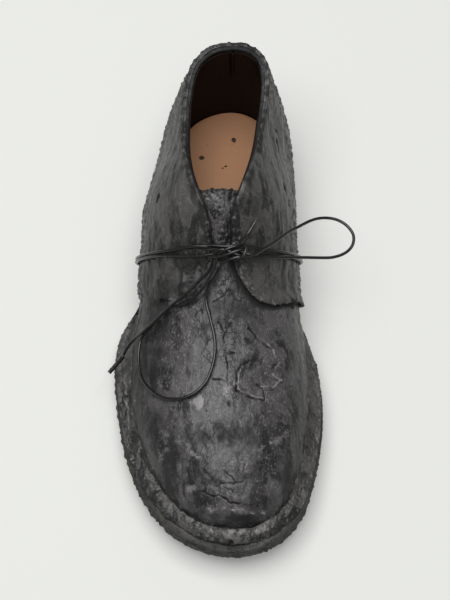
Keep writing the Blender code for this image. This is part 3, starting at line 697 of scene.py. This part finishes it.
# Lining: thin dark brown leather glued inside the upper's wall, closed by one seam down the heel.
# It stops a little below the collar's rolled edge.
LINING_THICKNESS, LINING_GLUE = 0.5, 0.3
lining_mesh = finer_copy("upper", levels=1, crease=0.6)
lining = bmesh.new()
lining.from_mesh(lining_mesh)
outer_share = facing_out(*points_of(lining_mesh))
lining.verts.ensure_lookup_table()
rim = [vert for vert in lining.verts if outer_share[vert.index] > 0.02]
bmesh.ops.delete(lining, geom=rim, context="VERTS")
lining.to_mesh(lining_mesh)
lining.free()
seam_x, seam_y = shoe_x(6.4), shoe_y(30)
for reach in (8, 5, 3.5, 2.5):
    middles = faces_of(lining_mesh)[0]
    divide(lining_mesh, (np.abs(middles[:, 0] - seam_x) < reach) & (middles[:, 1] > seam_y))
lining_points = points_of(lining_mesh)[0]
from_seam = np.where(lining_points[:, 1] > seam_y, lining_points[:, 0] - seam_x, 99.0)
seam_open = eased(lining_points[:, 2], 55, 78)
seam_lip = 0.8 * np.exp(-(((from_seam - 1.3) / 0.8) ** 2)) - 0.7 * np.exp(-((from_seam / 0.6) ** 2))
raise_relief(lining_mesh, LINING_GLUE + seam_open * seam_lip)
hide = Finish("lining_leather")
hide_place = hide.place()
hide_grain = hide.noise(hide_place, 1.4, 4)
hide_clouds = hide.noise(hide_place, 18, 3)
hide_colour = hide.mix(hide_clouds, (0.003, 0.0012, 0.0007), (0.015, 0.0065, 0.0035))
seam_shade = hide.step(0.2 - hide.kept("relief"), 0.0, 0.4)
hide_colour = hide.mix(seam_shade, hide_colour, (0.001, 0.001, 0.001))
lining_leather = hide.shade(
    Base_Color=hide_colour,
    Roughness=0.5 + 0.2 * hide_grain,
    Specular_IOR_Level=0.2,
    Normal=hide.bump(hide_grain, 0.2, 0.4),
)
lining_piece = dress("lining", lining_mesh, lining_leather)
sheet_wall = lining_piece.modifiers.new("thickness", "SOLIDIFY")
sheet_wall.thickness = LINING_THICKNESS * MM
sheet_wall.offset = 1

# Tongue: the vamp's own leather carried up under the throat, coated with it.
# The coating has flaked finely there and frays into tufts along the tongue's top edge.
# Creases, in the same columns as the vamp's.
TONGUE_LINES = (
    (-0.8, 0.7, -1.0, ((6.6, 98.0), (6.5, 102.1), (6.3, 109.1), (6.0, 115.5), (5.4, 123.0))),
    (-0.5, 1.6, -0.8, ((-12.0, 99.0), (-8.6, 109.0), (-6.2, 118.0), (-5.4, 126.0))),
)
tongue_mesh = finer_copy("tongue", levels=4, crease=0.6)
tongue_points, tongue_normals = points_of(tongue_mesh)
tongue_out = eased(tongue_normals[:, 2], -0.2, 0.4)
top_edge = eased(tongue_points[:, 1], shoe_y(101), shoe_y(98))
tongue_lines, tongue_marks = draw_lines(tongue_points, TONGUE_LINES, 31.0)
tongue_lumps = 0.35 * bumps(tongue_points, 6, 3.0) + 0.35 * bumps(tongue_points, 2.2, 4.0)
raise_relief(
    tongue_mesh,
    tongue_out * (tongue_lumps + tongue_lines) + 1.3 * top_edge * nubs(tongue_points, 2.0, 5.0),
    mark=tongue_marks + 0.1 + 0.5 * bumps(tongue_points, 1.5, 9.0) - 0.6 * top_edge,
)
tongue_coating = coating(
    "tongue_coating", PLUM, tone=0.95, roughness=0.44, run_share=0.1, fleck_and_glint=0.5
)
show("tongue_dipped", tongue_mesh, tongue_coating, "coated_leather", "tongue")

# Quarters: two leather sides with rounded flaps, laid over the upper and joined down the heel.
# The coating ran down them in long drips, stands up in nubs along every edge and bridges the seams.
# Creases, in the same columns as the vamp's.
QUARTER_LINES = (
    (-0.7, 0.8, -1.0, ((8.6, 104.0), (9.6, 109.4), (10.7, 113.8), (11.0, 118.5), (10.2, 124.0))),
    (-0.5, 0.6, -0.9, ((33.2, 48.0), (33.7, 52.0), (34.3, 62.0))),
    (-0.5, 0.6, -0.8, ((37.6, 81.0), (38.4, 85.0), (40.2, 92.0))),
    (-0.4, 0.5, -0.8, ((22.4, 116.0), (23.6, 118.4), (25.0, 120.4))),
    (-0.5, 0.8, -0.9, ((-35.4, 91.0), (-35.8, 96.0))),
)
GAP_REACH = 3.4
quarter_coating = coating(
    "quarter_coating", NEUTRAL, tone=0.92, roughness=0.4, run_share=0.22, fleck_and_glint=0.24
)


def dipped_quarter(side_name, gap_spot, gap_lift, gap_depth, sealed, flap_mark):
    """One quarter with its drips, and over its flap a painted tone: painted shade where it is below 0,
    painted light where it is above.

    Near gap_spot its flap stands off the vamp by a lift and is torn back by a depth. Beyond it the
    coating has sealed the flap's edge down by a height, or curled it up by one below 0.
    All are in millimetres.
    """
    mesh = finer_copy(f"quarter_{side_name}", levels=3, crease=0.5)
    middles, facings = faces_of(mesh)
    divide(mesh, facing_out(middles, facings) > 0.5)
    points, normals = points_of(mesh)
    out, verge = facing_out(points, normals), verge_of(mesh)
    spot = shoe_spot(*gap_spot)
    near_gap = np.exp(-((np.linalg.norm(points - spot, axis=1) / GAP_REACH) ** 2))
    flap_edge = verge * eased(-points[:, 1], -shoe_y(130), -shoe_y(137))
    flap_edge *= 1 - near_gap
    drips = 0.5 * runs(points, 5.5, 28, 2.0) + 0.2 * runs(points, 2.4, 10, 6.0)
    lumps = 0.4 * bumps(points, 13, 4.0) + 0.25 * bumps(points, 3.6, 7.0)
    lumps += 0.1 * nubs(points, 1.8, 9.0)
    lumps += 0.7 * (1 - eased(normals[:, 2], 0.2, 0.5)) * nubs(points, 2.0, 19.0)
    rough_edge = verge**3 * (1.2 * nubs(points, 2.2, 13.0) + 0.6 * bumps(points, 2.6, 14.0))
    collar = eased(points[:, 1], shoe_y(122), shoe_y(112))
    middle_y = np.clip(points[:, 1], *sorted((shoe_y(130), shoe_y(45))))
    arm = points[:, :2] - np.stack([np.full(len(points), shoe_x(3)), middle_y], 1)
    arm /= np.linalg.norm(arm, axis=1)[:, None] + 1e-9
    inwards = -(arm * normals[:, :2]).sum(1)
    seam = (np.abs(points[:, 0] - shoe_x(8)) < 1.2) & (points[:, 1] > shoe_y(60))
    bridge = 0.9 * collar * eased(inwards, 0.25, 0.7)
    bridge += 0.6 * seam * eased(np.abs(normals[:, 0]), 0.4, 0.8)
    bridge *= verge
    line_heights, marks = draw_lines(points, QUARTER_LINES, 41.0)
    # Painted light over the lower flap: painted shade on the lateral quarter, a little painted light on the
    # medial one.
    marks += flap_mark * eased(-points[:, 1], -shoe_y(105), -shoe_y(140))
    rough_edge *= 1 - 0.6 * collar
    edge_marks = 0.6 * (verge - flap_edge) * (0.7 + bumps(points, 4.0, 16.0))
    # Painted shadow: near the gap the quarter is painted darker, as the shade in the gap under it.
    raise_relief(
        mesh,
        out * (drips + lumps + rough_edge + line_heights) + bridge,
        mark=out * marks - edge_marks - 0.8 * near_gap,
    )
    ragged = flap_edge * (0.7 * bumps(points, 2.4, 23.0) + 0.8 * nubs(points, 1.8, 24.0))
    notch = np.outer(gap_depth * verge * near_gap - ragged, (0, 1, 0))
    move(mesh, (gap_lift * near_gap - sealed * flap_edge)[:, None] * outwards(points) + notch)
    node = f"quarter_{side_name}"
    show(f"{node}_dipped", mesh, quarter_coating, "coated_leather", node)


dipped_quarter(
    "lateral", (-33.5, 149.8, 55.2), gap_lift=0.8, gap_depth=3.0, sealed=3.4, flap_mark=-0.35
)
dipped_quarter(
    "medial", (40.5, 147.5, 46.5), gap_lift=1.5, gap_depth=0.0, sealed=-0.8, flap_mark=0.1
)

# Lace: one round waxed cord, wound twice round instep and arch and tied on top in a loose bow.
# Its turns are drawn tight; the bow's loops and ends are free and lie where they fell.
LACE_DIAMETER, LACE_SPACING = 1.8, 1.2

wax = Finish("waxed_lace")
wax_place = wax.place()
wax_grain = wax.noise(wax_place, 0.8, 3)
wax_clouds = wax.noise(wax_place, 6, 3)
waxed_lace = wax.shade(
    Base_Color=wax.mix(wax_clouds, (0.002, 0.002, 0.002), (0.008, 0.0077, 0.007)),
    Roughness=0.15 + 0.2 * wax_clouds,
    Specular_IOR_Level=0.6,
    Normal=wax.bump(wax_grain, 0.12, 0.5),
)

wrap_mesh = finer_copy("lace_wraps", levels=2, crease=0.0)
wax_relief = 0.09 + 0.05 * bumps(points_of(wrap_mesh)[0], 1.5, 3.0)
raise_relief(wrap_mesh, wax_relief)
show("lace_wraps_waxed", wrap_mesh, waxed_lace, "waxed_cord", "lace_wraps")

# The loops and ends of the bow, from the knot on. Columns: x, s, z.
LOOP_LEFT = (
    (2.9, 136.1, 82.7), (-1.6, 143.2, 77.0), (-6.2, 148.4, 72.4), (-7.7, 155.1, 67.8), (-5.4, 165.0, 65.0),
    (-3.0, 175.2, 62.6), (-2.5, 183.1, 60.9), (-3.7, 191.0, 59.2), (-7.1, 199.9, 57.1), (-13.3, 206.3, 55.0),
    (-20.7, 209.0, 52.4), (-27.0, 208.5, 49.8), (-33.3, 206.1, 46.7), (-39.8, 199.8, 42.9),
    (-44.7, 191.6, 39.5), (-46.7, 182.4, 38.2), (-46.8, 174.3, 38.4), (-45.1, 167.1, 40.7),
    (-40.9, 163.6, 46.0), (-36.1, 159.7, 51.2), (-29.1, 156.1, 57.7), (-22.7, 155.5, 62.0),
    (-16.3, 154.5, 66.2), (-11.2, 151.6, 71.0), (-6.0, 146.0, 76.4), (-0.6, 135.1, 83.9),
)
LOOP_RIGHT = (
    (11.9, 133.5, 86.9), (19.0, 135.1, 85.5), (25.3, 129.7, 82.0), (31.7, 123.1, 77.0), (40.0, 113.2, 70.0),
    (46.6, 107.3, 66.0), (52.6, 102.6, 63.0), (57.4, 100.0, 61.0), (62.7, 98.9, 59.5), (68.0, 99.4, 58.5),
    (72.7, 101.5, 57.5), (76.1, 104.9, 57.0), (78.1, 109.4, 57.0), (77.6, 114.6, 57.0), (74.9, 118.8, 57.0),
    (70.5, 121.9, 57.5), (64.6, 124.0, 58.5), (58.1, 125.1, 60.5), (46.9, 127.5, 66.0), (41.6, 128.9, 69.0),
    (34.6, 130.8, 73.0), (25.9, 132.9, 78.0), (18.0, 134.0, 81.0), (11.1, 133.3, 83.6),
)
END_LONG = (
    (10.6, 132.6, 84.6), (4.0, 132.8, 87.6), (-2.5, 133.5, 85.2), (-5.6, 140.6, 77.4), (-11.7, 145.5, 72.6),
    (-18.6, 150.8, 68.0), (-29.1, 157.0, 60.8), (-36.1, 161.2, 54.4), (-40.3, 163.2, 49.6),
    (-45.1, 165.4, 44.0), (-49.6, 166.8, 38.2), (-54.1, 170.5, 33.0), (-57.2, 175.3, 29.5),
    (-61.2, 179.3, 27.0), (-64.4, 182.5, 25.2),
)
END_SHORT = (
    (-0.6, 134.6, 85.6), (5.0, 132.6, 88.6), (11.0, 130.3, 88.1), (12.4, 127.6, 86.2), (14.2, 124.2, 84.6),
    (16.1, 121.1, 84.2), (18.0, 118.3, 84.7), (20.6, 113.9, 85.6),
)


def smooth_way(route, spacing):
    """Points a spacing apart on the smooth curve through a route, in metres."""
    stops = [np.array(shoe_place(*stop)) for stop in route]
    stops = [2 * stops[0] - stops[1], *stops, 2 * stops[-1] - stops[-2]]
    fine, steps = [], 12
    for before, here, there, after in zip(stops, stops[1:], stops[2:], stops[3:]):
        for t in np.linspace(0, 1, steps, endpoint=False):
            bend = 2 * before - 5 * here + 4 * there - after
            twist = 3 * (here - there) + after - before
            fine.append(here + 0.5 * t * (there - before + t * (bend + t * twist)))
    fine.append(stops[-2])
    lengths = np.cumsum([0.0] + [np.linalg.norm(b - a) for a, b in zip(fine, fine[1:])])
    stations = np.linspace(0, lengths[-1], max(2, round(lengths[-1] / spacing) + 1))
    way = np.stack([np.interp(stations, lengths, [p[i] for p in fine]) for i in range(3)], 1)
    return way, float(lengths[-1])


def strand(name, way, tip=0):
    """A round cord along a way; its last points, as many as tip, are bound into a thicker end."""
    curve = bpy.data.curves.new(name, "CURVE")
    curve.dimensions = "3D"
    curve.bevel_depth = LACE_DIAMETER / 2 * MM
    curve.bevel_resolution = 4
    curve.use_fill_caps = True
    line = curve.splines.new("POLY")
    line.points.add(len(way) - 1)
    for index, (point, spot) in enumerate(zip(line.points, way)):
        point.co = (*spot, 1.0)
        if index >= len(way) - tip:
            point.radius = 1.4 + 0.12 * math.sin(2.4 * index)
    curve.materials.append(waxed_lace)
    made = bpy.data.objects.new(name, curve)
    bpy.context.scene.collection.objects.link(made)
    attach(made, "root")
    return made


for lace_name, route, far_end, tip in (
    ("lace_loop_left", LOOP_LEFT, "object", 0),
    ("lace_loop_right", LOOP_RIGHT, "object", 0),
    ("lace_end_long", END_LONG, "bare", 11),
    ("lace_end_short", END_SHORT, "bare", 0),
):
    way, length = smooth_way(route, LACE_SPACING * MM)
    free = strand(f"{lace_name}_waxed", way, tip)
    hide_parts(lace_name)

# Knot: the bow's crossing, a loose tangle where the strands pass over and through each other.
# It is tied from the same waxed cord, so it is made of short turns of it, with routes of x, s, z.
KNOT_SPACING = 1.0
KNOT_WAYS = (
    (
        (-7.1, 131.1, 83.5), (-3.1, 131.4, 85.0), (1.4, 132.4, 86.6), (6.0, 133.8, 87.2),
        (10.5, 135.7, 86.6), (15.6, 136.2, 85.0),
    ),
    (
        (-5.9, 135.0, 82.4), (-2.0, 135.7, 84.4), (2.6, 136.0, 86.6), (7.1, 135.0, 88.4),
        (11.6, 133.5, 88.4), (16.1, 132.3, 86.8), (19.6, 130.8, 85.0),
    ),
    (
        (-7.1, 128.4, 83.6), (-2.0, 129.3, 85.2), (3.7, 130.3, 86.4), (8.8, 130.1, 87.2),
        (11.1, 129.3, 87.6),
    ),
    (
        (1.4, 138.5, 82.5), (5.4, 138.0, 85.4), (9.9, 137.3, 86.8), (14.4, 136.5, 86.4),
        (18.4, 135.3, 84.8),
    ),
    (
        (11.6, 128.3, 86.0), (14.1, 131.4, 88.6), (14.7, 134.8, 89.2), (12.7, 137.3, 88.0),
        (10.5, 137.4, 85.6),
    ),
)
knot = bmesh.new()
for knot_route in KNOT_WAYS:
    turn = strand("turn", smooth_way(knot_route, KNOT_SPACING * MM)[0])
    turn_mesh = bpy.data.meshes.new_from_object(turn)
    knot.from_mesh(turn_mesh)
    bpy.data.objects.remove(turn)
    bpy.data.meshes.remove(turn_mesh)
knot_mesh = bpy.data.meshes.new("lace_knot_waxed")
knot.to_mesh(knot_mesh)
knot.free()
show("lace_knot_waxed", knot_mesh, waxed_lace, "waxed_cord", "lace_knot")

# Studio: a pale lit table under one broad soft light, seen from high over the toe.
# The camera's lens is given in pixels of a picture of that height.
FLOOR_HALF_WIDTH = 3.0
FLOOR_COLOUR, FLOOR_GLOW, FLOOR_GLOW_STRENGTH = (0.56, 0.566, 0.546, 1.0), (1.0, 1.01, 0.96, 1.0), 0.19
SKY_COLOUR, SKY_STRENGTH = (1.0, 1.0, 1.0, 1.0), 0.24
LIGHT_PLACE, LIGHT_TARGET = Vector((-0.12, 0.05, 1.3)), Vector((0, 0, 0.03))
LIGHT_POWER, LIGHT_SIZE = 19, 1.1
PICTURE_HEIGHT, FOCAL_LENGTH, SHIFT_X, SHIFT_Y = 600, 2037.7, -1, 5.1
SENSOR_WIDTH = 36.0
CAMERA_ANGLE, CAMERA_DISTANCE = math.radians(66), 1.2
CAMERA_TARGET = shoe_place(3.7, 141.5, 30)

floor_grid = bmesh.new()
bmesh.ops.create_grid(floor_grid, x_segments=1, y_segments=1, size=FLOOR_HALF_WIDTH)
floor_mesh = bpy.data.meshes.new("floor")
floor_grid.to_mesh(floor_mesh)
floor_grid.free()
paper = Finish("pale_floor")
floor_mesh.materials.append(
    paper.shade(
        Base_Color=FLOOR_COLOUR,
        Roughness=0.9,
        Specular_IOR_Level=0.0,
        Emission_Color=FLOOR_GLOW,
        Emission_Strength=FLOOR_GLOW_STRENGTH,
    )
)
floor = bpy.data.objects.new("floor", floor_mesh)
bpy.context.scene.collection.objects.link(floor)

sky = bpy.data.worlds.new("studio")
sky.use_nodes = True
sky_light = sky.node_tree.nodes["Background"].inputs
sky_light["Color"].default_value = SKY_COLOUR
sky_light["Strength"].default_value = SKY_STRENGTH
bpy.context.scene.world = sky
bpy.context.scene.view_settings.view_transform = "Standard"

lamp = bpy.data.lights.new("overhead", "AREA")
lamp.energy, lamp.size = LIGHT_POWER, LIGHT_SIZE
overhead = bpy.data.objects.new("overhead", lamp)
overhead.location = LIGHT_PLACE
overhead.rotation_euler = (LIGHT_TARGET - LIGHT_PLACE).to_track_quat("-Z", "Y").to_euler()
bpy.context.scene.collection.objects.link(overhead)

lens = bpy.data.cameras.new("camera")
lens.sensor_width = SENSOR_WIDTH
lens.lens = SENSOR_WIDTH * FOCAL_LENGTH / PICTURE_HEIGHT
lens.shift_x, lens.shift_y = SHIFT_X / PICTURE_HEIGHT, SHIFT_Y / PICTURE_HEIGHT
camera = bpy.data.objects.new("camera", lens)
back = Vector((0, -math.cos(CAMERA_ANGLE), math.sin(CAMERA_ANGLE)))
camera.location = CAMERA_TARGET + CAMERA_DISTANCE * back
camera.rotation_euler = (-back).to_track_quat("-Z", "Y").to_euler()
bpy.context.scene.collection.objects.link(camera)
bpy.context.scene.camera = camera
